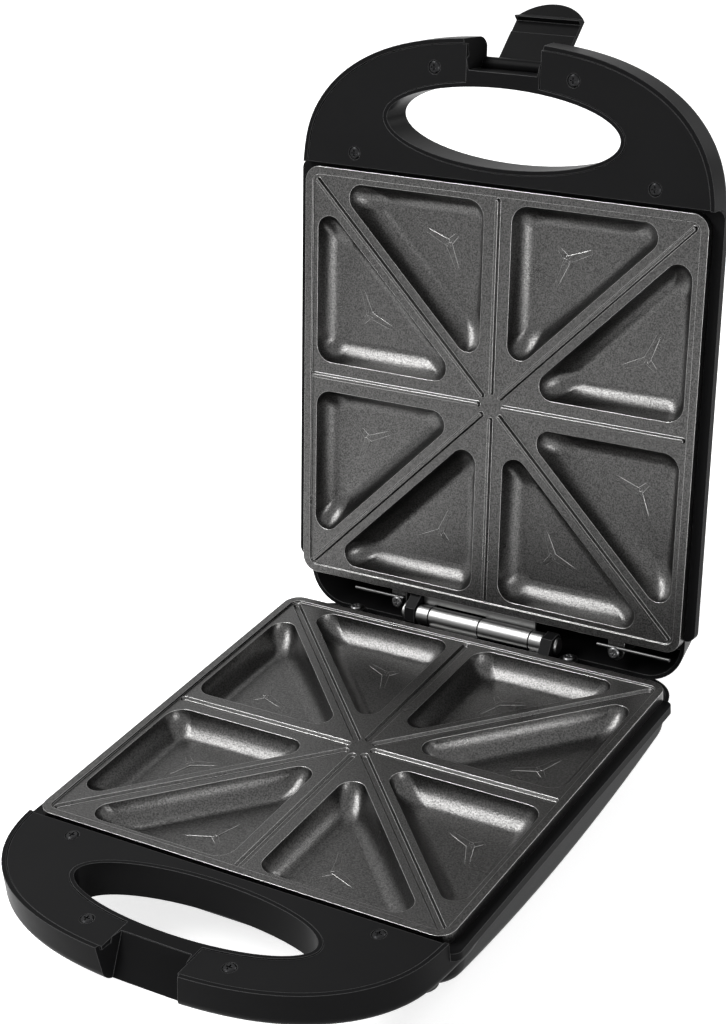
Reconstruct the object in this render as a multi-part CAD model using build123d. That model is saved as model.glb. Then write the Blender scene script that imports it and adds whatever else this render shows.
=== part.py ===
from build123d import *
import os
from math import atan, atan2, copysign, cos, degrees, hypot, radians, sin, sqrt, tan

# A four-slice sandwich toaster with its lid standing open. All sizes are in millimetres.
#
# Everything is first drawn in the closed toaster's own frame: X across, Y back towards the
# hinge, Z up, with the origin at the middle of the cooking plates, on the plane where the two
# halves meet. One moulding serves as both halves, so an upper piece is a lower piece turned
# half a turn about the Y axis. The lid is then swung open about the hinge, and the whole
# toaster is set down on its feet.

# ---- Cooking plates ----
plate_width = 245.0
plate_length = 240.0
plate_corner = 9.0
meeting_gap = 0.3           # between the two plates' lips when the lid is shut
lip_width = 4.4
lip_height = 1.2            # the lip stands this far above the land between the pockets
land_thickness = 2.6
skirt_wall = 2.4

pocket_depth = 12.5
pocket_scoop = 11.5         # width in plan of a pocket's curved side
pocket_wall = 2.0
pocket_edge_gap = 7.6       # from the plate's edge to a pocket's rim
pocket_centre_gap = 8.5     # from a centre line to a pocket's rim
pocket_diagonal_gap = 6.2   # from a diagonal to a pocket's rim
acute_corner = 8.0
right_corner = 10.0
corner_tightening = 0.45    # how much a pocket's corner radius shrinks per millimetre of inset
rim_angle = 10.0            # where the quarter-round side of a pocket starts, in degrees

star_long_arm = 32.0
star_short_arm = 15.5
star_height = 2.4
star_width = 4.4
star_root = 0.4             # how far a star is rooted in its pocket's floor

hub_radius = 6.2            # the ribs and grooves stop here, short of the plate's middle
rib_base = 3.6
rib_top = 1.6
rib_height = 2.0
rib_root = 0.5
spoke_end_gap = 0.6         # from the end of a rib or groove to the lip, so that the shut lips clear it
groove_width = 4.6
groove_floor = 2.4
groove_depth = 1.6

# ---- Housing, one half ----
wall = 2.4
flange_drop = 6.2           # the plate's skirt stands on the flange, this far below the meeting plane
flange_thickness = 4.5
flange_reach = 6.0          # how far the flange stands out beyond the plate at the sides
flange_lead = 2.0           # how far it runs on past the plate's front edge
flange_setback = 6.4        # how far it stops short of the plate's rear edge
flange_corner = 5.0
tub_margin = 0.1            # how far the tub's mouth is wider than the plate on each side
tub_lead = 1.8              # how far the tub runs on past the plate's front edge
tub_corner = 24.0
tub_depth = 51.0
tub_draft = 13.0
crown_radius = 620.0        # the bottom is bowed from front to back
bottom_round = 10.0
plate_gap = 0.4             # between the plate's rear edge and what stands behind it
lid_rim_drop = 9.0          # the lid's rear rim lies this far from the meeting plane
boss_diameter = 8.0
boss_depth = 36.0
lug_thickness = 2.0
lug_half_width = 5.0
rear_screw_reach = 8.0      # from the plate's rear edge back to the rear screws
rear_screw_insets = (39.5, 65.0)    # from the plate's side edges in to the rear screws
wire_diameter = 2.0
wire_ends = ((-33.0, 11.0), (-3.5, 29.5))   # where the retaining wires end, from their screws

# ---- Handle, one half ----
handle_overlap = 8.0        # the handle's outline is centred this far behind the plate's front edge
handle_margin = 2.8         # how far the handle is wider than the plate on each side
handle_reach = 85.0
handle_power = 2.45         # exponent of the handle's rounded outline
handle_thickness = 20.0
handle_round = 6.0
rim_gap = 0.4               # the handle's rim lies this far from the meeting plane
finger_reach = 39.5         # from the middle of the handle's outline to the finger hole's
finger_half_width = 70.3
finger_half_length = 21.0
ring_wall = 2.4
cover_thickness = 2.2
cover_sink = 0.5            # the cover lies this far below the rim round it
cover_gap = 0.35
shelf_half_width = 21.8
rear_cover_screw = (34.3, 17.5)     # in from the handle's side, and forward of its outline's middle
tip_cover_screw = (41.5, 17.0)      # out from the middle, and back from the handle's tip
screw_sink = 1.1            # the cover screws' heads sit this far into the cover

# ---- Latch ----
notch_half_width = 20.5
notch_depth = 16.7          # from the handle's tip back to the notch's rear wall
notch_foot_depth = 5.2      # the same at the foot of the base's sloping notch
notch_corner = 4.0          # how far the corner facets widen the notch at the front
latch_side_gap = 1.0
latch_gap = 0.4             # round the latch's barrel, and between its arm and the notch's foot
pivot_depth = 14.5          # from the handle's tip back to the latch's pivot
barrel_radius = 3.6
latch_pin_diameter = 2.6
latch_pin_length = 51.6
latch_thickness = 2.8
latch_web = 3.0
latch_hook = 3.0
latch_grip = 0.35           # between the hook and the underside of the base's handle
latch_lead = 4.0            # height of the hook's sloping lead-in
latch_tab = 8.5
latch_step_depth = 0.5      # of the shallow step in the arm's inner face, above the hook
latch_step_length = 8.0
latch_shoulder = 3.0        # bevel at the arm's outer upper corner
hook_edge = 0.7             # height of the hook's blunt edge
tab_edge = 1.2              # bevels at the tab's end
tab_edge_height = 2.0
tab_step = 0.6              # the tab is this much thinner than the arm, on its inner face
latch_root_round = 2.0
recess_reach = 14.0         # from the pivot out along the thrown-back arm, to the handle's surface
recess_setback = 2.0
latch_swing = 134.0         # degrees from hooked to thrown fully open

# ---- Hinge ----
hinge_reach = 11.25         # from the plate's rear edge back to the hinge pin
open_angle = 100.66         # degrees
rear_reach = 11.55          # from the hinge pin back to the tub's rear rim
hinge_pin_diameter = 7.9
pin_clearance = 0.05
knuckle_wall = 1.8
knuckle_gap = 0.8
barrel_length = 31.9
collar_length = 7.5
cheek_width = 6.7
cheek_drop = 34.0
cheek_margin = 2.0          # of the cheek round the hinge pin
cheek_foot = 2.0            # the cheek's front edge starts this far below the meeting plane
cheek_root = 1.0            # how far the cheek runs into the wall behind the plate
leaf_thickness = 1.8
leaf_tail = 14.0
leaf_gap = 0.1
leaf_screw_spots = (-22.0, 16.0)
leaf_screw_rise = 1.1       # from the pockets' floors up to the leaf's screws, clear of the scooped sides
pin_gap = 0.3               # between a cheek and the pin's head or clip
pin_head = 1.6
pin_head_rim = 1.0          # how far the head stands out round the pin
pin_tip = 1.5               # how far the pin stands out of its clip
clip_rim = 2.0
clip_thickness = 1.0

# ---- Heating ----
heater_diameter = 6.6
heater_side_margin = 47.5   # from the plate's side edges in to the element
heater_end_margin = 45.0    # from the plate's front and rear edges in to the element
heater_bend = 14.0
heater_tail_x = 15.0
heater_tail_gap = 12.0      # from the plate's rear edge to the ends of the element's sheath
terminal_pin = 8.0
tray_thickness = 0.8
tray_margin = 20.0
tray_corner = 12.0
tray_lip = 5.0
tray_notch = 8.0            # beside each tail of the element
tray_post_reach = 45.0
tray_post_diameter = 9.0
thermostat_diameter = 16.0
thermostat_height = 7.0
thermostat_screw_reach = 13.0
thermostat_step = 3.0       # how far the thermostat's neck is narrower on each side
thermostat_neck = 4.0
tab_spread = 2.6            # the thermostat's two tabs, from its middle
tab_size = (0.8, 6.0, 4.0)
sensor_post_diameter = 7.0
post_hole = 8.0
sensor_post_height = 4.4    # of the posts under the thermostat's ears
fuse_diameter = 4.4
fuse_length = 22.0
fuse_post_reach = 9.0
clamp_thickness = 0.8
terminal_spot = (-60.0, 61.0)
terminal_standoff = 11.0    # from the outer face of the tub's lowest point up to the block
terminal_size = (34.0, 16.0, 11.0)
terminal_pitch = 7.6
terminal_screw_reach = 11.5
barrel_share = 0.4          # radius of a terminal's barrel, and of its bore, as shares of the pitch
bore_share = 0.2

# ---- Feet, cord bush and lamps ----
foot_margin = 30.5          # from the plate's side edges in to the feet
foot_setback = 22.0         # from the plate's front edge back to the front feet
rear_foot_margin = 12.0     # from the plate's rear edge forward to the rear feet
foot_diameter = 17.0
foot_pad = 3.0
foot_stem = 6.0
foot_shoulder = 0.5         # how far a pad is smaller than its leg all round
foot_bevel = 0.8
leg_height = 20.0
leg_spread = 3.0            # how far a leg widens upwards all round
bush_margin = 32.5          # from the plate's side edge in to the cord bush
bush_drop = 21.0
bush_hole = 9.0
bush_bore = 6.4
bush_flange = 2.0
bush_rim = 2.0              # how far the bush's flanges stand out round the hole
lens_diameter = 8.0
lens_setback = 29.8         # from the tub's front rim back to the lenses
lens_spacing = 34.0
lens_stand = 1.5            # how far a lens stands out of the case
lens_length = 13.0
lens_wall = 1.2
lens_collar = 1.0           # thickness of the lens's flange inside the case
lens_collar_rim = 1.5
lens_collar_gap = 0.05      # between the flange and the case
lens_crown = 2.0            # thickness of the lens's closed end
lens_dome_flat = 0.3        # the dome's round stops this far short of the case's surface
lamp_tail = 2.0             # how far the lamp runs on behind its lens

# ---- Fastenings ----
screw_shank = 3.0
screw_head = 6.6
screw_head_height = 1.7
screw_length = 11.0
screw_clearance = 0.4       # round a sunk screw head
bore_fit = 0.05

# ---- Values that follow ----
half_gap = meeting_gap / 2
half_width = plate_width / 2
half_length = plate_length / 2
land_drop = half_gap + lip_height
pocket_floor = land_drop + pocket_depth
pocket_bottom = pocket_floor + pocket_wall
heater_drop = pocket_bottom + heater_diameter / 2
tray_top = heater_drop + heater_diameter / 2
sensor_post_drop = land_drop + land_thickness + sensor_post_height
fuse_drop = land_drop + groove_depth + land_thickness + fuse_diameter / 2
fuse_bottom = fuse_drop + fuse_diameter / 2
tray_post_spots = [(tray_post_reach, 0), (-tray_post_reach, 0), (0, tray_post_reach), (0, -tray_post_reach)]
thermostat_screw_spots = [(-thermostat_screw_reach, 0), (thermostat_screw_reach, 0)]
fuse_post_spots = [(0, -fuse_post_reach), (0, fuse_post_reach)]
terminal_seat = tub_depth - terminal_standoff

flange_front = -half_length - flange_lead
flange_rear = half_length - flange_setback
divider_rear = half_length + plate_gap
hinge_y = half_length + hinge_reach
tub_half_width = half_width + tub_margin
tub_front = -half_length - tub_lead
tub_rear = hinge_y + rear_reach
rear_screw_y = half_length + rear_screw_reach
rear_screw_spots = (rear_screw_insets[0] - half_width, half_width - rear_screw_insets[1])

handle_half_width = half_width + handle_margin
handle_centre = handle_overlap - half_length
handle_tip = handle_centre - handle_reach
finger_centre = handle_centre - finger_reach
underside = rim_gap + handle_thickness
cover_top = rim_gap + cover_sink
cover_bottom = cover_top + cover_thickness
cover_rear = tub_front - plate_gap
cover_screw_spots = [(side * x, y) for side in (1, -1) for x, y in (
    (handle_half_width - rear_cover_screw[0], handle_centre - rear_cover_screw[1]),
    (tip_cover_screw[0], handle_tip + tip_cover_screw[1]))]

notch_rear = handle_tip + notch_depth
notch_slope_foot = handle_tip + notch_foot_depth
pivot_y = handle_tip + pivot_depth
pivot_height = underside - barrel_radius
latch_face = pivot_y - notch_slope_foot + latch_gap     # from the pivot to the arm's inner face
latch_width = 2 * (notch_half_width - latch_side_gap)

knuckle_radius = hinge_pin_diameter / 2 + knuckle_wall
barrel_span = (-knuckle_gap / 2 - barrel_length, -knuckle_gap / 2)
collar_start = knuckle_gap / 2 + barrel_length + knuckle_gap
collar_span = (collar_start, collar_start + collar_length)
cheek_span = (collar_span[1] + knuckle_gap, collar_span[1] + knuckle_gap + cheek_width)
leaf_screw_height = leaf_screw_rise - pocket_floor
open_axis = Axis((0, hinge_y, 0), (1, 0, 0))

floor_clearance = tub_depth + foot_pad      # from the meeting plane down to the table
foot_spots = [(x, y) for x in (foot_margin - half_width, half_width - foot_margin)
              for y in (foot_setback - half_length, half_length - rear_foot_margin)]
bush_x = bush_margin - half_width
lens_y = tub_front + lens_setback
lens_spots = (-lens_spacing / 2, lens_spacing / 2)


def turned_over(part):
    """The upper half's copy of a lower piece."""
    return Rot(0, 180, 0) * part


def swung_open(part):
    """A piece of the shut lid, moved to where the open lid carries it."""
    return part.rotate(open_axis, -open_angle)


def down(sketch, top, depth, taper=0):
    """A solid under a flat outline, from the height -top downwards."""
    return extrude(Pos(0, 0, -top) * sketch, depth, dir=(0, 0, -1), taper=taper)


def block(x_span, y_span, z_span):
    """A box given by its limits."""
    size = [high - low for low, high in (x_span, y_span, z_span)]
    middle = [(high + low) / 2 for low, high in (x_span, y_span, z_span)]
    return Pos(*middle) * Box(*size)


def in_front_of(y):
    """Everything that lies forward of a place, for keeping or cutting."""
    far = 2 * (plate_width + plate_length)
    return block((-far, far), (-far, y), (-far, far))


def side_profile(points, x_span):
    """A prism whose outline in the YZ plane is given by its corners."""
    outline = Plane.YZ * make_face(Polyline(*points, close=True))
    return Pos(x_span[0], 0, 0) * extrude(outline, x_span[1] - x_span[0], dir=(1, 0, 0))


def x_rod(radius, x_span, y, z):
    """A round rod along X."""
    length = x_span[1] - x_span[0]
    return Pos((x_span[0] + x_span[1]) / 2, y, z) * Rot(0, 90, 0) * Cylinder(radius, length)


def rod_down(radius, x, y, top, depth):
    """A round rod from the height -top downwards."""
    return Pos(x, y, -top - depth / 2) * Cylinder(radius, depth)


def end_edges(part, end):
    """The round edges at a part's lowest (0) or highest (-1) end along Z."""
    return part.edges().filter_by(GeomType.CIRCLE).group_by(Axis.Z)[end]


def plain_screw(length):
    """A hidden screw, its head's underside at the origin and its shank down."""
    head = Pos(0, 0, screw_head_height / 2) * Cylinder(screw_head / 2, screw_head_height)
    return head + Pos(0, 0, -length / 2) * Cylinder(screw_shank / 2, length)


def screw():
    """A screw that shows, with a bevelled head and a cross recess."""
    body = plain_screw(screw_length)
    body = chamfer(end_edges(body, -1), 0.4 * screw_head_height)
    slot = Box(0.55 * screw_head, 0.13 * screw_head, screw_head_height)
    return body - Pos(0, 0, screw_head_height) * (slot + Rot(0, 0, 90) * slot)


def screws_up(spots, seat, length):
    """Hidden screws driven upwards, with their heads under the height -seat."""
    return [Pos(x, y, -seat) * Rot(180, 0, 0) * plain_screw(length) for x, y in spots]


# ---- Cooking plates ----

def pocket_corners(inset, along, across):
    """The corners of a pocket's right triangle: between the line x = 0, the plate's edge at
    y = along and the diagonal to the corner (across, along)."""
    slope = along / across
    rise = (pocket_diagonal_gap + inset) * hypot(1, slope)
    left = pocket_centre_gap + inset
    top = along - pocket_edge_gap - inset
    return [(left, top), ((top - rise) / slope, top), (left, left * slope + rise)]


def pocket_outline(inset, along, across):
    """One pocket's rounded outline, drawn in from its rim by an inset."""
    corners = pocket_corners(inset, along, across)
    tightening = inset if inset < 0 else corner_tightening * inset
    radii = [right_corner - tightening, acute_corner - tightening, acute_corner - tightening]
    outline = make_face(Polyline(*corners, close=True))
    for corner, radius in zip(corners, radii):
        vertex = outline.vertices().sort_by_distance(Vector(*corner))[0]
        outline = fillet(vertex, radius)
    return outline


def pocket_form(growth, steps, along, across):
    """The scooped form of a pocket, below the land, grown outwards by a wall. The underside
    is drawn in flat steps, the cooking side as one smooth surface."""
    start = radians(rim_angle)
    sections = []
    for step in range(steps + 1):
        angle = start + (radians(90) - start) * step / steps
        inset = pocket_scoop * (cos(start) - cos(angle))
        sink = (pocket_depth + growth) * (sin(angle) - sin(start)) / (1 - sin(start))
        sections.append(Pos(0, 0, -land_drop - sink) * pocket_outline(inset - growth, along, across))
    return loft(sections, ruled=growth > 0)


def star(along, across):
    """The raised three-armed mark on a pocket's floor, at the centre of its triangle."""
    corners = pocket_corners(0, along, across)
    (left, top), (right, _), (_, bottom) = corners
    inradius = (right - left + top - bottom - hypot(right - left, top - bottom)) / 2
    centre = (left + inradius, top - inradius)
    mark = None
    for corner, length in zip(corners, (star_short_arm, star_long_arm, star_long_arm)):
        heading = Vector(corner[0] - centre[0], corner[1] - centre[1], 0).normalized()
        ridge = make_face(Polyline((-star_width / 2, -star_root), (star_width / 2, -star_root),
                                   (0, star_height), close=True))
        root = Plane(origin=(*centre, -pocket_floor), x_dir=heading.cross(Vector(0, 0, 1)), z_dir=heading)
        tip = Vector(*centre, -pocket_floor - star_root) + heading * length
        arm = loft([root * ridge, Vertex(*tip)])
        mark = arm if mark is None else mark + arm
    return mark


def swap_axes(part):
    """The mirror image of a piece about the line x = y."""
    return mirror(part, about=Plane(origin=(0, 0, 0), x_dir=(1, 1, 0), z_dir=(1, -1, 0)))


def round_the_plate(form, *sizes):
    """Eight copies of a pocket's form or mark: two to each quarter of the plate."""
    quarter = form(*sizes, half_length, half_width) + swap_axes(form(*sizes, half_width, half_length))
    half = quarter + mirror(quarter, about=Plane.YZ)
    return half + mirror(half, about=Plane.XZ)


def spokes(width, height, narrowing):
    """Tapered bars from the hub to the lip along the centre lines and the diagonals, drawn
    upwards from the height zero, or downwards for a negative height, with rounded ends."""
    diagonal = degrees(atan2(plate_length, plate_width))
    across = half_width - lip_width - spoke_end_gap
    along = half_length - lip_width - spoke_end_gap
    corner = hypot(half_width, half_length) - 2 * lip_width - spoke_end_gap
    reaches = [(0, across), (90, along), (180, across), (270, along), (diagonal, corner),
               (180 - diagonal, corner), (180 + diagonal, corner), (-diagonal, corner)]
    taper = degrees(atan(narrowing / 2 / abs(height)))
    bars = None
    for angle, reach in reaches:
        length = reach - hub_radius
        slot = Rot(0, 0, angle) * Pos(hub_radius + length / 2, 0, 0) * SlotOverall(length, width)
        bar = extrude(slot, abs(height), dir=(0, 0, 1 if height > 0 else -1), taper=taper)
        bars = bar if bars is None else bars + bar
    return bars


def rear_lug(x):
    """A tongue of the casting that a rear screw clamps to the housing."""
    top = flange_drop - lug_thickness
    lug = block((x - lug_half_width, x + lug_half_width), (half_length - skirt_wall, rear_screw_y),
                (-flange_drop, -top))
    lug += rod_down(lug_half_width, x, rear_screw_y, top, lug_thickness)
    return lug - rod_down(screw_shank / 2 + bore_fit, x, rear_screw_y, top, lug_thickness)


def plate_shell():
    """A plate's casting before its ribs or grooves: lip, land, skirt, pockets and lugs."""
    outline = RectangleRounded(plate_width, plate_length, plate_corner)
    inner = RectangleRounded(plate_width - 2 * skirt_wall, plate_length - 2 * skirt_wall,
                             plate_corner - skirt_wall)
    land = RectangleRounded(plate_width - 2 * lip_width, plate_length - 2 * lip_width,
                            plate_corner - lip_width)
    shell = down(outline, half_gap, lip_height + land_thickness)
    shell += down(outline - inner, half_gap, flange_drop - half_gap)
    shell -= down(land, half_gap, lip_height)
    shell += round_the_plate(pocket_form, pocket_wall, 3)
    shell += posts(tray_post_spots, tray_post_diameter, tray_top)
    shell -= round_the_plate(pocket_form, 0, 4)
    shell += round_the_plate(star)
    for x in rear_screw_spots:
        shell += rear_lug(x)
    return shell


def posts(spots, diameter, bottom):
    """Cast posts under a plate, each with a blind hole for a screw."""
    cast = None
    for x, y in spots:
        post = rod_down(diameter / 2, x, y, land_drop + 1, bottom - land_drop - 1)
        post -= rod_down(screw_shank / 2, x, y, bottom - post_hole, post_hole)
        cast = post if cast is None else cast + post
    return cast


def lower_plate():
    """The grooved plate of the base."""
    grooves = Pos(0, 0, -land_drop) * spokes(groove_width, -groove_depth, groove_width - groove_floor)
    backing = Pos(0, 0, -land_drop - groove_depth) * spokes(groove_width, -land_thickness, 0)
    return plate_shell() + backing + posts(fuse_post_spots, sensor_post_diameter, fuse_bottom) - grooves


def upper_plate():
    """The ribbed plate of the lid, drawn as a lower piece."""
    ribs = Pos(0, 0, -land_drop - rib_root) * spokes(rib_base, rib_height + rib_root, rib_base - rib_top)
    return plate_shell() + ribs + posts(thermostat_screw_spots, sensor_post_diameter, sensor_post_drop)


# ---- Heating ----

def heater():
    """A bent tubular element under the pockets, with its two ends and terminal pins."""
    side = half_width - heater_side_margin
    end = half_length - heater_end_margin
    tail_y = half_length - heater_tail_gap
    right_half = [(side, -end), (side, end), (heater_tail_x, end), (heater_tail_x, tail_y)]
    left_half = [(-x, y) for x, y in reversed(right_half)]
    route = FilletPolyline(*left_half, *right_half, radius=heater_bend)
    start = Plane(origin=route @ 0, z_dir=route % 0)
    tube = sweep(start * Circle(heater_diameter / 2), path=route)
    for x in (-heater_tail_x, heater_tail_x):
        pin = Rot(90, 0, 0) * Cylinder(screw_shank / 2, terminal_pin)
        tube += Pos(x, tail_y + terminal_pin / 2, 0) * pin
    return Pos(0, 0, -heater_drop) * tube


def reflector():
    """A sheet-metal tray under the element, turned up round its edge."""
    width = plate_width - 2 * tray_margin
    length = plate_length - 2 * tray_margin
    outline = RectangleRounded(width, length, tray_corner)
    tray = down(outline, tray_top, tray_thickness)
    tray += down(outline - offset(outline, -tray_thickness), tray_top - tray_lip, tray_lip)
    opening = heater_tail_x + tray_notch
    tray -= block((-opening, opening), (length / 2 - 2 * tray_thickness, length), (-tray_top, 0))
    return tray - screw_holes(tray_post_spots, tray_top)


def screw_holes(spots, top):
    """Clearance holes through sheet metal or a thin wall just below the height -top."""
    holes = None
    for x, y in spots:
        hole = rod_down(screw_shank / 2 + bore_fit, x, y, top - 1, 3)
        holes = hole if holes is None else holes + hole
    return holes


def tray_screws():
    """The four screws that hold the reflector to the plate."""
    return screws_up(tray_post_spots, tray_top + tray_thickness, post_hole - 1)


def thermostat():
    """The bimetal switch pressed against the upper plate, with two screwed ears and two tabs."""
    top = land_drop + land_thickness
    neck = top + thermostat_height
    body = rod_down(thermostat_diameter / 2, 0, 0, top, thermostat_height)
    body += rod_down(thermostat_diameter / 2 - thermostat_step, 0, 0, neck, thermostat_neck)
    ears = SlotOverall(2 * thermostat_screw_reach + sensor_post_diameter, sensor_post_diameter)
    body += down(ears, sensor_post_drop, clamp_thickness)
    for x in (-tab_spread, tab_spread):
        body += Pos(x, 0, -neck - thermostat_neck - tab_size[2] / 2) * Box(*tab_size)
    return body - screw_holes(thermostat_screw_spots, sensor_post_drop)


def thermostat_screws():
    """The two screws through the thermostat's ears."""
    return screws_up(thermostat_screw_spots, sensor_post_drop + clamp_thickness, sensor_post_height - 1)


def thermal_fuse():
    """The sleeved one-shot fuse that lies across the lower plate's middle."""
    return x_rod(fuse_diameter / 2, (-fuse_length / 2, fuse_length / 2), 0, -fuse_drop)


def fuse_clamp():
    """The strap that holds the fuse against the lower plate."""
    strap = SlotOverall(2 * fuse_post_reach + sensor_post_diameter, sensor_post_diameter)
    clamp = down(Rot(0, 0, 90) * strap, fuse_bottom, clamp_thickness)
    return clamp - screw_holes(fuse_post_spots, fuse_bottom)


def fuse_clamp_screws():
    """The two screws of the fuse's strap."""
    return screws_up(fuse_post_spots, fuse_bottom + clamp_thickness, sensor_post_height)


def terminal_screw_spots():
    """Where the terminal block is screwed to the bosses in the base."""
    x, y = terminal_spot
    return [(x - terminal_screw_reach, y), (x + terminal_screw_reach, y)]


def terminal_block():
    """The three-way block where the cord's cores join those inside."""
    length, width, height = terminal_size
    x, y = terminal_spot
    top = terminal_seat - height
    body = Pos(x, y, -terminal_seat + height / 2) * Box(length, width, height)
    for step in (-1, 0, 1):
        barrel = Pos(x + step * terminal_pitch, y, -top) * Rot(90, 0, 0)
        body += barrel * Cylinder(barrel_share * terminal_pitch, width)
        body -= barrel * Cylinder(bore_share * terminal_pitch, width + 1)
    well = terminal_pitch + height / 2
    for x, y in terminal_screw_spots():
        body -= rod_down(screw_head / 2 + screw_clearance, x, y, top - terminal_pitch, well)
        body -= rod_down(screw_shank / 2 + bore_fit, x, y, top, height)
    return body


def terminal_screws():
    """The two screws that hold the terminal block down."""
    seat = terminal_seat - terminal_size[2] / 2
    return [Pos(x, y, -seat) * plain_screw(screw_length) for x, y in terminal_screw_spots()]


# ---- Housing ----

def tub_outline(inset):
    """The outline of the tub's mouth, drawn in by an inset."""
    outline = RectangleRounded(2 * (tub_half_width - inset), tub_rear - tub_front - 2 * inset,
                               tub_corner - inset)
    return Pos(0, (tub_rear + tub_front) / 2) * outline


def tub_form(inset):
    """The deep part of a housing: leaning walls and a bottom bowed from front to back."""
    walls = down(tub_outline(inset), flange_drop, tub_depth, taper=tub_draft)
    form = walls & x_rod(crown_radius, (-plate_width, plate_width), 0, crown_radius - tub_depth + inset)
    bottom = form.faces().filter_by(GeomType.CYLINDER).sort_by(Axis.Z)[0]
    return fillet(bottom.edges(), bottom_round - inset)


def handle_outline(inset):
    """The handle's rounded outline, a superellipse about the front of the tub."""
    steps = 20
    points = []
    for step in range(steps):
        angle = radians(360 * step / steps)
        across = copysign(abs(cos(angle)) ** (2 / handle_power), cos(angle))
        along = copysign(abs(sin(angle)) ** (2 / handle_power), sin(angle))
        points.append(((handle_half_width - inset) * across, handle_centre + (handle_reach - inset) * along))
    return make_face(Spline(*points, periodic=True))


def finger_ellipse(growth):
    """The oval of the finger hole, grown outwards."""
    return Pos(0, finger_centre) * Ellipse(finger_half_width + growth, finger_half_length + growth)


def shelf(half, top, bottom):
    """The solid bridge between the finger hole and the tip of the handle."""
    bridge = block((-half, half), (handle_tip - 1, finger_centre), (-bottom, -top))
    return bridge & down(handle_outline(0), 0, underside)


def hollow_handle():
    """The handle's body: a slab hollowed under its cover, with a ring round the finger hole,
    a bridge at its tip and a boss under each cover screw."""
    slab = down(handle_outline(0), rim_gap, handle_thickness)
    slab = fillet(slab.edges().group_by(Axis.Z)[0], handle_round)
    cavity = down(handle_outline(wall), cover_bottom, underside - wall - cover_bottom)
    cavity = fillet(cavity.edges().group_by(Axis.Z)[0], handle_round - wall)
    core = down(finger_ellipse(ring_wall), 0, underside) + shelf(shelf_half_width + wall, 0, underside)
    for x, y in cover_screw_spots:
        core += rod_down(boss_diameter / 2, x, y, cover_bottom, underside - cover_bottom)
    island = down(finger_ellipse(ring_wall), 0, underside) + shelf(shelf_half_width, rim_gap, underside)
    seat = down(handle_outline(wall), 0, cover_bottom)
    return slab, (cavity & in_front_of(tub_front - wall)) - core, (seat & in_front_of(tub_front)) - island


def rear_boss(x):
    """The boss under a rear screw, as deep as the tub allows."""
    return rod_down(boss_diameter / 2, x, rear_screw_y, flange_drop, boss_depth) & tub_form(wall / 2)


def cheek():
    """The lug that carries one end of the hinge pin."""
    reach = hinge_pin_diameter / 2 + cheek_margin
    root = divider_rear - cheek_root
    points = [(root, -cheek_drop), (root, -flange_drop), (divider_rear, -flange_drop),
              (divider_rear, -cheek_foot), (hinge_y - 0.75 * reach, reach), (hinge_y + 0.6 * reach, reach),
              (hinge_y + reach, reach / 2), (hinge_y + reach, -2 * reach), (hinge_y + reach / 2, -cheek_drop)]
    bore = x_rod(hinge_pin_diameter / 2 + pin_clearance, (0, 2 * cheek_span[1]), hinge_y, 0)
    return side_profile(points, cheek_span) - bore


def housing(rim_drop):
    """One half of the case: tub, flange and hollow handle in a single moulding."""
    flange = RectangleRounded(plate_width + 2 * flange_reach, flange_rear - flange_front, flange_corner)
    slab, cavity, seat = hollow_handle()
    body = tub_form(0) + slab
    body += down(Pos(0, (flange_front + flange_rear) / 2) * flange, flange_drop, flange_thickness)
    far = 2 * (plate_width + plate_length)
    body -= block((-far, far), (tub_front, far), (-flange_drop, 1))
    body -= block((-far, far), (flange_rear, far), (-rim_drop, 1))

    hollow = tub_form(wall) + down(tub_outline(wall), half_gap, flange_drop)
    divider_span = (divider_rear - wall, divider_rear)
    divider = block((-half_width, half_width), divider_span, (-tub_depth, -flange_drop))
    body -= hollow - divider
    body -= cavity
    body -= seat
    body -= down(finger_ellipse(0), 0, 2 * underside)
    for x, y in cover_screw_spots:
        body -= rod_down(screw_shank / 2, x, y, 0, cover_top + screw_sink + screw_length)
    for x in rear_screw_spots:
        body += rear_boss(x) - rod_down(screw_shank / 2, x, rear_screw_y, flange_drop, screw_length)
    for x in leaf_screw_spots:
        boss = Pos(x, divider_rear, leaf_screw_height) * Rot(90, 0, 0)
        body += boss * Pos(0, 0, boss_diameter / 2) * Cylinder(boss_diameter / 2, boss_diameter)
        body -= boss * Cylinder(screw_shank / 2, 3 * boss_diameter)
    return body + cheek()


def notch_corner_cut(side):
    """The facet at one front corner of the latch notch: wide at the rim, narrow below."""
    near = side * notch_half_width
    far = side * (notch_half_width + notch_corner)
    front = handle_tip - 2
    top = make_face(Polyline((near, notch_rear), (far, front), (near, front), close=True))
    low = make_face(Polyline((near, notch_slope_foot), (near + side, front), (near, front), close=True))
    return loft([top, Pos(0, 0, -underside) * low])


def opened_rim_depth():
    """How far below the meeting plane the lid's rear rim lies when the lid stands open."""
    rim_y = rear_reach - (lid_rim_drop - flange_drop) * tan(radians(tub_draft))
    angle = radians(open_angle)
    return rim_y * sin(angle) - lid_rim_drop * cos(angle)


def leg(x, y):
    """A tapered leg down to a foot's pad."""
    radius = foot_diameter / 2
    return Pos(x, y, -tub_depth + leg_height / 2) * Cone(radius, radius + leg_spread, leg_height)


def bush_plane():
    """The rear wall's outer surface at the cord hole, facing outwards."""
    lean = radians(tub_draft)
    y = tub_rear - (bush_drop - flange_drop) * tan(lean)
    return Plane(origin=(bush_x, y, -bush_drop), x_dir=(1, 0, 0), z_dir=(0, cos(lean), -sin(lean)))


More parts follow.
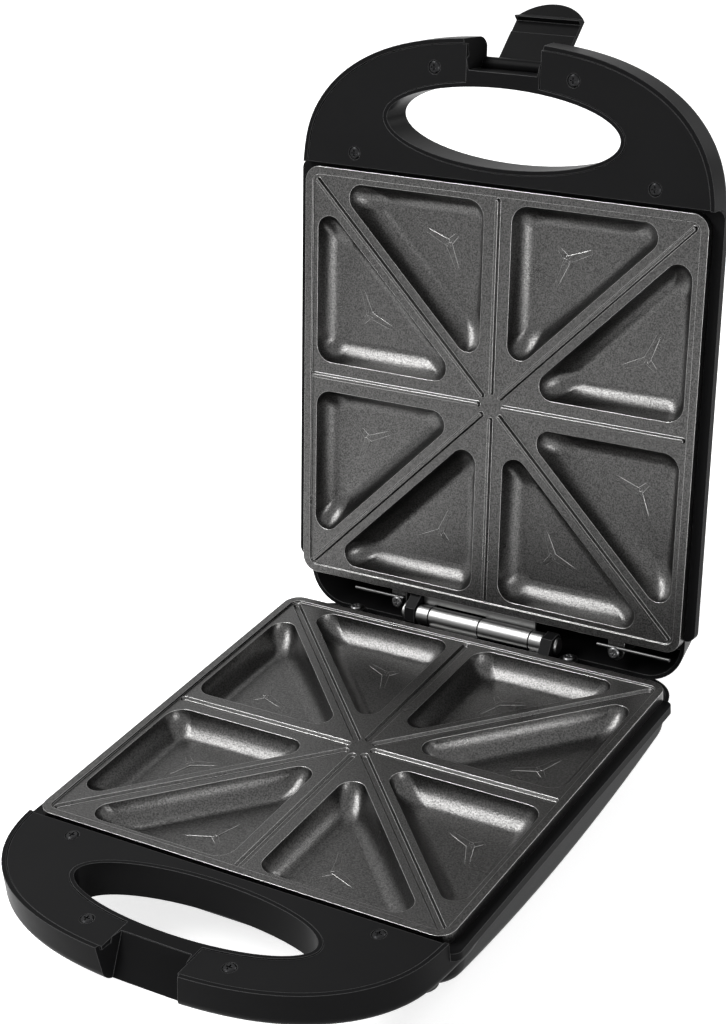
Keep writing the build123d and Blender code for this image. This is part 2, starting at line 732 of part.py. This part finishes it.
def base_housing():
    """The lower half, with its sloping latch notch, legs and cord hole."""
    body = housing(opened_rim_depth() + meeting_gap)
    tip = handle_tip - 2
    below = -underside - 1
    slope = [(notch_rear, 1), (notch_rear, -rim_gap - 0.6), (notch_slope_foot, -underside),
             (notch_slope_foot, below), (tip, below), (tip, 1)]
    body -= side_profile(slope, (-notch_half_width, notch_half_width))
    body -= notch_corner_cut(1) + notch_corner_cut(-1)
    for x, y in foot_spots:
        body += leg(x, y) - tub_form(wall)
    for x, y in foot_spots:
        body -= rod_down(foot_stem / 2 + bore_fit, x, y, tub_depth - foot_stem, foot_stem)
    for x, y in terminal_screw_spots():
        body += rod_down(boss_diameter / 2, x, y, terminal_seat, boss_depth) & tub_form(wall / 2)
        body -= rod_down(screw_shank / 2, x, y, terminal_seat, screw_length - terminal_size[2] / 2)
    return body - bush_plane() * Cylinder(bush_hole / 2, 4 * wall)


def latch_path(span):
    """What the thrown-back latch needs cleared behind its pivot, in the lower-piece frame."""
    angle = radians(180 - latch_swing)
    along = Vector(0, cos(angle), -sin(angle))
    across = Vector(0, sin(angle), cos(angle)) * (latch_web / 2 + latch_gap)
    pivot = Vector(0, pivot_y, -pivot_height)
    corners = [pivot + across, pivot + across + along * recess_reach,
               pivot + Vector(0, -recess_setback, -recess_reach), pivot + Vector(0, -recess_setback, 0)]
    return side_profile([(corner.Y, corner.Z) for corner in corners], span)


def lid_housing():
    """The upper half, drawn as a lower piece: its latch recess is open to the outside."""
    body = housing(lid_rim_drop)
    span = (-notch_half_width, notch_half_width)
    body -= block(span, (handle_tip - 2, notch_rear), (-underside - 1, 1))
    body -= x_rod(barrel_radius + latch_gap, span, pivot_y, -pivot_height)
    body -= latch_path(span)
    body -= notch_corner_cut(1) + notch_corner_cut(-1)
    half_pin = latch_pin_length / 2
    body -= x_rod(latch_pin_diameter / 2 + bore_fit, (-half_pin, half_pin), pivot_y, -pivot_height)
    for x in lens_spots:
        body -= lens_plane(x) * Cylinder(lens_diameter / 2 + bore_fit, 4 * wall)
    return body


# ---- Indicator lamps in the lid ----

def lens_plane(x):
    """The case's bowed outer surface at a lens, facing inwards."""
    rise = sqrt(crown_radius ** 2 - lens_y ** 2)
    return Plane(origin=(x, lens_y, crown_radius - tub_depth - rise), x_dir=(1, 0, 0),
                 z_dir=(0, -lens_y, rise))


def lens(x):
    """A domed lens pushed out through the case from inside, with a sleeve for its lamp."""
    radius = lens_diameter / 2
    body = Pos(0, 0, lens_length / 2 - lens_stand) * Cylinder(radius, lens_length)
    body = fillet(end_edges(body, 0), lens_stand - lens_dome_flat)
    collar = Cylinder(radius + lens_collar_rim, lens_collar)
    flange = Pos(0, 0, wall + lens_collar_gap + lens_collar / 2) * collar
    sleeve = Pos(0, 0, lens_length / 2 + lens_crown - lens_stand) * Cylinder(radius - lens_wall, lens_length)
    return lens_plane(x) * (body + flange - sleeve)


def lamp(x):
    """A small neon lamp inside its lens."""
    length = lens_length + lamp_tail
    radius = lens_diameter / 2 - lens_wall - bore_fit
    bulb = Pos(0, 0, length / 2 + lens_crown - lens_stand) * Cylinder(radius, length)
    return lens_plane(x) * chamfer(end_edges(bulb, 0), radius / 2)


# ---- Handle cover and the screws through the case ----

def handle_cover():
    """The plate that closes the hollow handle on the side that meets the other half."""
    outline = handle_outline(wall + cover_gap) - finger_ellipse(ring_wall + cover_gap)
    far = plate_width + plate_length
    outline -= Pos(0, finger_centre - far / 2) * Rectangle(2 * (shelf_half_width + cover_gap), far)
    cover = down(outline, cover_top, cover_thickness) & in_front_of(cover_rear)
    for x, y in cover_screw_spots:
        cover -= rod_down(screw_head / 2 + screw_clearance, x, y, 0, cover_top + screw_sink)
        cover -= rod_down(screw_shank / 2 + bore_fit, x, y, cover_top, cover_thickness)
    return cover


def cover_screws():
    """The four screws of a handle cover."""
    return [Pos(x, y, -cover_top - screw_sink) * screw() for x, y in cover_screw_spots]


def rear_screws(packing=0):
    """The two screws that clamp a plate's rear lugs to the housing, over any packing."""
    seat = flange_drop - lug_thickness - packing
    return [Pos(x, rear_screw_y, -seat) * screw() for x in rear_screw_spots]


def retaining_wires():
    """Two bright wires in the lid's trough, each clamped under one rear screw's head."""
    y = rear_screw_y - screw_shank / 2 - wire_diameter / 2 - 2 * bore_fit
    z = -flange_drop + lug_thickness + wire_diameter / 2
    return [x_rod(wire_diameter / 2, (x + start, x + end), y, z)
            for x, (start, end) in zip(rear_screw_spots, wire_ends)]


# ---- Hinge ----

def hinge_leaf():
    """A rolled knuckle, a narrow collar and the leaf that joins them, with its screwed tail."""
    low = -knuckle_radius
    root = divider_rear + leaf_gap
    span = (barrel_span[0], collar_span[1])
    leaf = block(span, (root, hinge_y - knuckle_radius - 2 * leaf_gap), (low, low + leaf_thickness))
    leaf += block(span, (root, root + leaf_thickness), (low - leaf_tail, low + leaf_thickness))
    for knuckle in (barrel_span, collar_span):
        leaf += block(knuckle, (root, hinge_y), (low, low + leaf_thickness))
        leaf += x_rod(knuckle_radius, knuckle, hinge_y, 0)
    leaf -= x_rod(hinge_pin_diameter / 2 + pin_clearance, (-plate_width, plate_width), hinge_y, 0)
    for x in leaf_screw_spots:
        hole = Rot(90, 0, 0) * Cylinder(screw_shank / 2 + bore_fit, 3 * leaf_thickness)
        leaf -= Pos(x, root, leaf_screw_height) * hole
    return leaf


def leaf_screws():
    """The screws that hold a hinge leaf to the wall in front of it."""
    seat = divider_rear + leaf_gap + leaf_thickness
    return [Pos(x, seat, leaf_screw_height) * Rot(-90, 0, 0) * plain_screw(boss_diameter)
            for x in leaf_screw_spots]


def hinge_pin():
    """The pin through both leaves and both cheeks, headed at one end."""
    end = cheek_span[1] + pin_gap
    pin = x_rod(hinge_pin_diameter / 2, (-end - clip_thickness - pin_tip, end), hinge_y, 0)
    head = x_rod(hinge_pin_diameter / 2 + pin_head_rim, (end, end + pin_head), hinge_y, 0)
    return pin + chamfer(head.edges().filter_by(GeomType.CIRCLE).sort_by(Axis.X)[-1], pin_head / 2)


def pin_clip():
    """The push-on washer at the pin's other end."""
    end = cheek_span[1] + pin_gap
    ring = x_rod(hinge_pin_diameter / 2 + clip_rim, (-end - clip_thickness, -end), hinge_y, 0)
    return ring - x_rod(hinge_pin_diameter / 2, (-2 * end, 0), hinge_y, 0)


# ---- Latch ----

def latch():
    """The latch, drawn hooked shut: a hooked arm with a rounded tab, on a barrel."""
    def at(forward, under):
        return (pivot_y - forward, pivot_height - under)

    face = latch_face
    outer = latch_face + latch_thickness
    web = latch_web / 2
    hook = pivot_height + underside + latch_grip
    tab = hook + latch_lead
    tip = tab + latch_tab
    step = hook - latch_step_length
    half = (-latch_width / 2, latch_width / 2)
    arm = side_profile([at(0, -web), at(outer - latch_shoulder, -web), at(outer, latch_shoulder - web),
                        at(outer, tip - tab_edge_height), at(outer - tab_edge, tip),
                        at(face + tab_step, tip), at(face + tab_step, tab),
                        at(face - latch_hook, hook + hook_edge), at(face - latch_hook, hook),
                        at(face, hook), at(face, web), at(0, web)], half)
    inner_corner = arm.edges().filter_by(Axis.X).sort_by_distance(Vector(0, *at(face, web)))[0]
    arm = fillet(inner_corner, latch_root_round)
    arm -= side_profile([at(face - 1, step), at(face + latch_step_depth, step),
                         at(face + latch_step_depth, hook), at(face - 1, hook)], half)

    root = pivot_height - tab
    rounded = ThreePointArc((half[0], root), (0, root - latch_tab), (half[1], root))
    tab_outline = Plane.XZ * make_face(rounded + Line((half[1], root), (half[0], root)))
    tab_form = extrude(tab_outline, 2 * plate_length, both=True)
    above = block(half, (pivot_y - 2 * outer, pivot_y + outer), (root, pivot_height + outer))
    body = (arm & (tab_form + above)) + x_rod(barrel_radius, half, pivot_y, pivot_height)
    return body - x_rod(latch_pin_diameter / 2 + bore_fit, (-latch_width, latch_width), pivot_y, pivot_height)


def latch_pin():
    """The latch's pivot pin, held in the walls of the lid's recess."""
    half = latch_pin_length / 2
    return x_rod(latch_pin_diameter / 2, (-half, half), pivot_y, pivot_height)


# ---- Feet and cord bush ----

def rubber_foot(x, y):
    """A pad with a stem pressed up into its leg."""
    pad = rod_down(foot_diameter / 2 - foot_shoulder, x, y, tub_depth, foot_pad)
    pad = chamfer(end_edges(pad, 0), foot_bevel)
    return pad + rod_down(foot_stem / 2, x, y, tub_depth - foot_stem + 1, foot_stem - 1)


def cord_bush():
    """The rubber bush in the cord hole of the base's rear wall."""
    thick = wall * cos(radians(tub_draft))
    neck = Pos(0, 0, -thick / 2) * Cylinder(bush_hole / 2 - bore_fit, thick + bush_flange)
    flange = Cylinder(bush_hole / 2 + bush_rim, bush_flange)
    flanges = Pos(0, 0, bush_flange / 2) * flange + Pos(0, 0, -thick - bush_flange / 2) * flange
    return bush_plane() * (neck + flanges - Cylinder(bush_bore / 2, 10 * wall))


def as_list(piece):
    """A node's solids as a list."""
    return piece if isinstance(piece, list) else [piece]


os.makedirs("parts", exist_ok=True)

base_pieces = {
    "base_housing": base_housing(),
    "base_handle_cover": handle_cover(),
    "base_cover_screws": cover_screws(),
    "lower_plate": lower_plate(),
    "base_rear_screws": rear_screws(),
    "lower_heater": heater(),
    "lower_reflector": reflector(),
    "base_tray_screws": tray_screws(),
    "thermal_fuse": thermal_fuse(),
    "fuse_clamp": fuse_clamp(),
    "fuse_clamp_screws": fuse_clamp_screws(),
    "terminal_block": terminal_block(),
    "terminal_screws": terminal_screws(),
    "base_hinge_leaf": hinge_leaf(),
    "base_leaf_screws": leaf_screws(),
    "hinge_pin": hinge_pin(),
    "hinge_pin_clip": pin_clip(),
    "cord_bush": cord_bush(),
    "rubber_feet": [rubber_foot(x, y) for x, y in foot_spots],
}
lid_pieces = {
    "lid_housing": lid_housing(),
    "lid_handle_cover": handle_cover(),
    "lid_cover_screws": cover_screws(),
    "upper_plate": upper_plate(),
    "lid_rear_screws": rear_screws(wire_diameter),
    "retaining_wires": retaining_wires(),
    "upper_heater": heater(),
    "upper_reflector": reflector(),
    "lid_tray_screws": tray_screws(),
    "thermostat": thermostat(),
    "thermostat_screws": thermostat_screws(),
    "lid_hinge_leaf": hinge_leaf(),
    "lid_leaf_screws": leaf_screws(),
    "power_lens": lens(lens_spots[0]),
    "ready_lens": lens(lens_spots[1]),
    "indicator_lamps": [lamp(x) for x in lens_spots],
}
thrown_latch = latch().rotate(Axis((0, pivot_y, pivot_height), (1, 0, 0)), -latch_swing)

nodes = {name: as_list(piece) for name, piece in base_pieces.items()}
for name, piece in lid_pieces.items():
    nodes[name] = [swung_open(turned_over(solid)) for solid in as_list(piece)]
nodes["latch"] = [swung_open(thrown_latch)]
nodes["latch_pin"] = [swung_open(latch_pin())]

# The open toaster is centred over the origin and stood on the table.
rear_most = max(nodes["lid_housing"][0].bounding_box().max.Y, nodes["latch"][0].bounding_box().max.Y)
middle_y = (rear_most + handle_tip) / 2
placing = Pos(0, -middle_y, floor_clearance)
for name, pieces in nodes.items():
    solids = [placing * piece for piece in pieces]
    export_step(solids[0] if len(solids) == 1 else Compound(children=solids), "parts/" + name + ".step")

pivot = swung_open(Pos(0, pivot_y, pivot_height) * Box(1, 1, 1)).center()
print("hinge pin's y and z:", hinge_y - middle_y, floor_clearance)
print("latch pin's y and z:", pivot.Y - middle_y, pivot.Z + floor_clearance)
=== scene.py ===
import math

import bpy
from mathutils import Matrix, Vector

# Looks for the open sandwich toaster: a camera at the photograph's viewpoint, plain soft light
# and a node material for every piece. Lengths are in metres, in the frame of the CAD model.

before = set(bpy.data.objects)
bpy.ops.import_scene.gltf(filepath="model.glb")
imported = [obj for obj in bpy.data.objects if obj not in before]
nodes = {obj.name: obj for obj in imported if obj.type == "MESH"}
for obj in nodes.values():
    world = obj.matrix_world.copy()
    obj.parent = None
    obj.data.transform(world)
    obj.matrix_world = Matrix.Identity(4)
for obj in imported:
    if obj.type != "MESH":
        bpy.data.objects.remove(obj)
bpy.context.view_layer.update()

# ---- Camera ----
camera_place = Vector((0.5506, -0.8089, 0.6857))
camera_turn = 32.983        # degrees to the left of straight ahead (+Y)
camera_dip = 29.191         # degrees below level
camera_roll = -4.684
camera_lens = 76.05         # millimetres, on a 36 mm high frame
camera_sensor = 36
camera_shift = (-0.0522, 0.0636)

# ---- Light ----
background_white = 1.0
ambient = 0.25
floor_glow = 0.76           # lifts the floor to white where it is seen
floor_grey = 0.85
floor_roughness = 0.9
floor_size = 12.0
lamp_target = Vector((0, 0.05, 0.15))

# ---- Surfaces ----
MM = 0.001
speckle_size = 0.85 * MM    # of the non-stick coating's grains
patch_size = 30 * MM        # of its slightly smoother and rougher patches
shade_size = 40 * MM        # of the plastics' lighter and darker parts
streak_size = 0.5 * MM      # of the metals' drawn or rolled streaks
noise_span = (0.3, 0.7)     # most of a noise's values lie in here
grain_span = (0.36, 0.64)   # narrower, so that the coating's grains stand out
edge_turn = (0.93, 0.995)   # cosines of how far an edge's rounded normal turns: full painted highlight, and none
bevel_rays = 6
coating_dark = (0.046, 0.0455, 0.045)
coating_light = (0.118, 0.1165, 0.1148)
# painted highlight: the colour of the coating's edges
coating_painted_highlight = (0.52, 0.516, 0.51)
coating_roughness = (0.27, 0.31)
coating_relief = 0.12 * MM
coating_highlight_reach = 0.35 * MM    # how far from an edge the painted highlight reaches
coating_edge = 0.3 * MM     # radius that its edges show in the light
# painted highlight: the colour of the plastics' edges
plastic_painted_highlight = (0.08, 0.08, 0.081)
plastic_edge = 0.5 * MM
fine_edge = 0.2 * MM        # of metal and other small pieces


# ---- Node helpers ----

def new_material(name):
    """A material with its node tree, its Principled shader and its object coordinates."""
    material = bpy.data.materials.new(name)
    material.use_nodes = True
    tree = material.node_tree
    shader = tree.nodes["Principled BSDF"]
    place = tree.nodes.new("ShaderNodeTexCoord").outputs["Object"]
    return material, tree, shader, place


def stretched(tree, place, scale):
    """The coordinates scaled by three factors."""
    mapping = tree.nodes.new("ShaderNodeMapping")
    mapping.inputs["Scale"].default_value = scale
    tree.links.new(place, mapping.inputs["Vector"])
    return mapping.outputs["Vector"]


def noise(tree, place, size, detail=2.0, roughness=0.5):
    """Noise whose features are about the given size in metres."""
    node = tree.nodes.new("ShaderNodeTexNoise")
    node.inputs["Scale"].default_value = 1 / size
    node.inputs["Detail"].default_value = detail
    node.inputs["Roughness"].default_value = roughness
    tree.links.new(place, node.inputs["Vector"])
    return node.outputs["Fac"]


def ramp(tree, value, low, high, start=0.0, end=1.0):
    """Maps a value from [start, end] to a range of numbers."""
    node = tree.nodes.new("ShaderNodeMapRange")
    node.inputs["From Min"].default_value = start
    node.inputs["From Max"].default_value = end
    node.inputs["To Min"].default_value = low
    node.inputs["To Max"].default_value = high
    tree.links.new(value, node.inputs["Value"])
    return node.outputs["Result"]


def tint(tree, value, first, second):
    """A colour between two colours, the first of which can come from another node."""
    node = tree.nodes.new("ShaderNodeMix")
    node.data_type = "RGBA"
    if isinstance(first, bpy.types.NodeSocket):
        tree.links.new(first, node.inputs["A"])
    else:
        node.inputs["A"].default_value = (*first, 1)
    node.inputs["B"].default_value = (*second, 1)
    tree.links.new(value, node.inputs["Factor"])
    return node.outputs["Result"]


def times(colour, factor):
    """A lighter or darker copy of a colour."""
    return [min(factor * channel, 1) for channel in colour]


def rounded_normal(tree, radius):
    """The surface's normal as if its edges had a small radius."""
    rounded = tree.nodes.new("ShaderNodeBevel")
    rounded.samples = bevel_rays
    rounded.inputs["Radius"].default_value = radius
    return rounded.outputs["Normal"]


def painted_edge_highlight(tree, radius):
    """One along the edges, where a highlight is painted into the colour, and zero elsewhere."""
    compare = tree.nodes.new("ShaderNodeVectorMath")
    compare.operation = "DOT_PRODUCT"
    tree.links.new(rounded_normal(tree, radius), compare.inputs[0])
    tree.links.new(tree.nodes.new("ShaderNodeNewGeometry").outputs["Normal"], compare.inputs[1])
    return ramp(tree, compare.outputs["Value"], 1.0, 0.0, *edge_turn)


def bump(tree, shader, height, depth, strength, edge):
    """Surface relief of the given depth, over slightly rounded edges."""
    node = tree.nodes.new("ShaderNodeBump")
    node.inputs["Distance"].default_value = depth
    node.inputs["Strength"].default_value = strength
    tree.links.new(height, node.inputs["Height"])
    tree.links.new(rounded_normal(tree, edge), node.inputs["Normal"])
    tree.links.new(node.outputs["Normal"], shader.inputs["Normal"])


# ---- Materials ----

def nonstick():
    """Dark grey non-stick coating with a fine metallic speckle and a highlight painted along its edges."""
    material, tree, shader, place = new_material("nonstick_coating")
    speckle = noise(tree, place, speckle_size, detail=2, roughness=0.7)
    patches = noise(tree, place, patch_size)
    contrast = ramp(tree, speckle, 0.0, 1.0, *grain_span)
    colour = tint(tree, contrast, coating_dark, coating_light)
    # painted highlight: the edges are lightened in the colour, as where they catch the light
    colour = tint(tree, painted_edge_highlight(tree, coating_highlight_reach), colour, coating_painted_highlight)
    tree.links.new(colour, shader.inputs["Base Color"])
    shader.inputs["Metallic"].default_value = 1.0
    tree.links.new(ramp(tree, patches, *coating_roughness, *noise_span), shader.inputs["Roughness"])
    bump(tree, shader, speckle, coating_relief, strength=0.8, edge=coating_edge)
    return material


def black_plastic(name, colour, roughness, grain, depth, index):
    """Moulded black plastic with a fine spark-eroded grain and a highlight painted along its edges."""
    material, tree, shader, place = new_material(name)
    fine = noise(tree, place, grain, detail=3)
    broad = noise(tree, place, shade_size)
    shade = tint(tree, broad, times(colour, 0.85), times(colour, 1.15))
    # painted highlight: paler lines along the edges, as where they catch the light
    shade = tint(tree, painted_edge_highlight(tree, plastic_edge), shade, plastic_painted_highlight)
    tree.links.new(shade, shader.inputs["Base Color"])
    gloss = ramp(tree, fine, roughness - 0.04, roughness + 0.04, *noise_span)
    tree.links.new(gloss, shader.inputs["Roughness"])
    shader.inputs["IOR"].default_value = index
    bump(tree, shader, fine, depth, strength=0.4, edge=plastic_edge)
    return material


def metal(name, colour, roughness, stretch, depth):
    """Bare or plated metal with drawn or rolled streaks."""
    material, tree, shader, place = new_material(name)
    streaks = noise(tree, stretched(tree, place, stretch), streak_size, detail=3)
    shade = tint(tree, streaks, times(colour, 0.8), colour)
    tree.links.new(shade, shader.inputs["Base Color"])
    shader.inputs["Metallic"].default_value = 1.0
    gloss = ramp(tree, streaks, roughness - 0.05, roughness + 0.06, *noise_span)
    tree.links.new(gloss, shader.inputs["Roughness"])
    bump(tree, shader, streaks, depth, strength=0.3, edge=fine_edge)
    return material


def plain(name, colour, roughness, grain, depth, transmission=0.0):
    """Rubber, ceramic or clear plastic with a slight mottling."""
    material, tree, shader, place = new_material(name)
    mottle = noise(tree, place, grain, detail=3)
    shade = tint(tree, mottle, times(colour, 0.8), times(colour, 1.15))
    tree.links.new(shade, shader.inputs["Base Color"])
    gloss = ramp(tree, mottle, roughness - 0.03, roughness + 0.05, *noise_span)
    tree.links.new(gloss, shader.inputs["Roughness"])
    shader.inputs["Transmission Weight"].default_value = transmission
    bump(tree, shader, mottle, depth, strength=0.3, edge=fine_edge)
    return material


def paint(material, *names):
    """Gives CAD nodes their material."""
    for name in names:
        mesh = nodes[name].data
        mesh.materials.clear()
        mesh.materials.append(material)


# How the streaks are stretched along the object's axes.
drawn = (0.15, 1, 1)
rolled = (0.1, 1, 1)
even = (1, 1, 1)

paint(nonstick(), "lower_plate", "upper_plate")
paint(black_plastic("case_plastic", colour=(0.007, 0.007, 0.0073), roughness=0.32,
                    grain=0.5 * MM, depth=0.02 * MM, index=1.09),
      "base_housing", "lid_housing")
paint(black_plastic("cover_plastic", colour=(0.0075, 0.0075, 0.0078), roughness=0.44,
                    grain=0.35 * MM, depth=0.04 * MM, index=1.12),
      "base_handle_cover", "lid_handle_cover")
paint(black_plastic("latch_plastic", colour=(0.005, 0.005, 0.0052), roughness=0.34,
                    grain=0.4 * MM, depth=0.02 * MM, index=1.08),
      "latch")
paint(metal("hinge_steel", colour=(0.2, 0.2, 0.198), roughness=0.33, stretch=drawn, depth=0.02 * MM),
      "base_hinge_leaf", "lid_hinge_leaf", "hinge_pin", "hinge_pin_clip", "latch_pin")
paint(metal("wire_steel", colour=(0.12, 0.12, 0.12), roughness=0.4, stretch=drawn, depth=0.02 * MM),
      "retaining_wires")
paint(metal("black_screw_steel", colour=(0.025, 0.025, 0.026), roughness=0.36,
            stretch=even, depth=0.02 * MM),
      "base_cover_screws", "lid_cover_screws")
paint(metal("screw_steel", colour=(0.16, 0.16, 0.162), roughness=0.35, stretch=even, depth=0.02 * MM),
      "base_rear_screws", "lid_rear_screws", "base_tray_screws", "lid_tray_screws", "fuse_clamp_screws",
      "terminal_screws", "base_leaf_screws", "lid_leaf_screws", "thermostat_screws")
paint(metal("element_sheath", colour=(0.3, 0.27, 0.24), roughness=0.45, stretch=even, depth=0.03 * MM),
      "lower_heater", "upper_heater")
paint(metal("tray_sheet", colour=(0.75, 0.75, 0.76), roughness=0.3, stretch=rolled, depth=0.02 * MM),
      "lower_reflector", "upper_reflector", "fuse_clamp")
paint(plain("soft_rubber", colour=(0.02, 0.02, 0.02), roughness=0.6, grain=0.6 * MM, depth=0.05 * MM),
      "rubber_feet", "cord_bush")
paint(plain("cream_ceramic", colour=(0.7, 0.67, 0.6), roughness=0.5, grain=0.8 * MM, depth=0.03 * MM),
      "thermostat", "thermal_fuse", "terminal_block")
paint(plain("red_lens_plastic", colour=(0.5, 0.015, 0.01), roughness=0.1,
            grain=2 * MM, depth=0.005 * MM, transmission=0.6),
      "power_lens")
paint(plain("green_lens_plastic", colour=(0.02, 0.35, 0.05), roughness=0.1,
            grain=2 * MM, depth=0.005 * MM, transmission=0.6),
      "ready_lens")
paint(plain("lamp_glass", colour=(0.9, 0.85, 0.8), roughness=0.08,
            grain=3 * MM, depth=0.005 * MM, transmission=0.8),
      "indicator_lamps")


# ---- Floor, world, lamps and camera ----

def camera_ray_white(tree, ordinary, white):
    """A strength that is white where the background is seen, directly or in gloss or glass."""
    path = tree.nodes.new("ShaderNodeLightPath")
    total = path.outputs["Is Camera Ray"]
    for name in ("Is Glossy Ray", "Is Transmission Ray"):
        larger = tree.nodes.new("ShaderNodeMath")
        larger.operation = "MAXIMUM"
        tree.links.new(total, larger.inputs[0])
        tree.links.new(path.outputs[name], larger.inputs[1])
        total = larger.outputs["Value"]
    return ramp(tree, total, ordinary, white)


def set_world():
    """Plain grey light from all sides, and a white background."""
    world = bpy.data.worlds.new("plain_world")
    world.use_nodes = True
    tree = world.node_tree
    background = tree.nodes["Background"]
    background.inputs["Color"].default_value = (1, 1, 1, 1)
    tree.links.new(camera_ray_white(tree, ambient, background_white), background.inputs["Strength"])
    bpy.context.scene.world = world


def floor():
    """A pale floor that reads as white and keeps the object's shadow."""
    mesh = bpy.data.meshes.new("floor")
    half = floor_size / 2
    corners = [(-half, -half, 0), (half, -half, 0), (half, half, 0), (-half, half, 0)]
    mesh.from_pydata(corners, [], [(0, 1, 2, 3)])
    plane = bpy.data.objects.new("floor", mesh)
    bpy.context.scene.collection.objects.link(plane)
    material, tree, shader, _ = new_material("pale_floor")
    shader.inputs["Base Color"].default_value = (floor_grey, floor_grey, floor_grey, 1)
    shader.inputs["Roughness"].default_value = floor_roughness
    shader.inputs["Emission Color"].default_value = (1, 1, 1, 1)
    tree.links.new(camera_ray_white(tree, 0.0, floor_glow), shader.inputs["Emission Strength"])
    mesh.materials.append(material)


def area_lamp(name, direction, distance, length, width, power):
    """A soft lamp in a direction from the object, facing it, with its length from front to back."""
    lamp = bpy.data.lights.new(name, "AREA")
    lamp.shape = "RECTANGLE"
    lamp.size = width
    lamp.size_y = length
    lamp.energy = power
    back = Vector(direction).normalized()
    across = Vector((0, 1, 0)).cross(back).normalized()
    holder = bpy.data.objects.new(name, lamp)
    turn = Matrix((across, back.cross(across), back)).transposed().to_4x4()
    holder.matrix_world = Matrix.Translation(lamp_target + distance * back) @ turn
    bpy.context.scene.collection.objects.link(holder)


def set_camera():
    """The camera at the photograph's viewpoint."""
    data = bpy.data.cameras.new("camera")
    data.lens = camera_lens
    data.sensor_width = camera_sensor
    data.shift_x, data.shift_y = camera_shift
    camera = bpy.data.objects.new("camera", data)
    turn = Matrix.Rotation(math.radians(camera_turn), 4, "Z")
    tilt = Matrix.Rotation(math.radians(90 - camera_dip), 4, "X")
    roll = Matrix.Rotation(math.radians(camera_roll), 4, "Z")
    camera.matrix_world = Matrix.Translation(camera_place) @ turn @ tilt @ roll
    bpy.context.scene.collection.objects.link(camera)
    bpy.context.scene.camera = camera


set_world()
floor()
area_lamp("key_lamp", direction=(-0.475, -0.35, 0.8), distance=1.6, length=1.7, width=0.5, power=36)
area_lamp("side_lamp", direction=(0.81, -0.53, 0.1), distance=1.8, length=0.8, width=0.4, power=10)
area_lamp("rim_lamp", direction=(0.5, 0.85, 0.45), distance=1.6, length=0.6, width=0.6, power=6)
set_camera()
bpy.context.scene.view_settings.view_transform = "Standard"
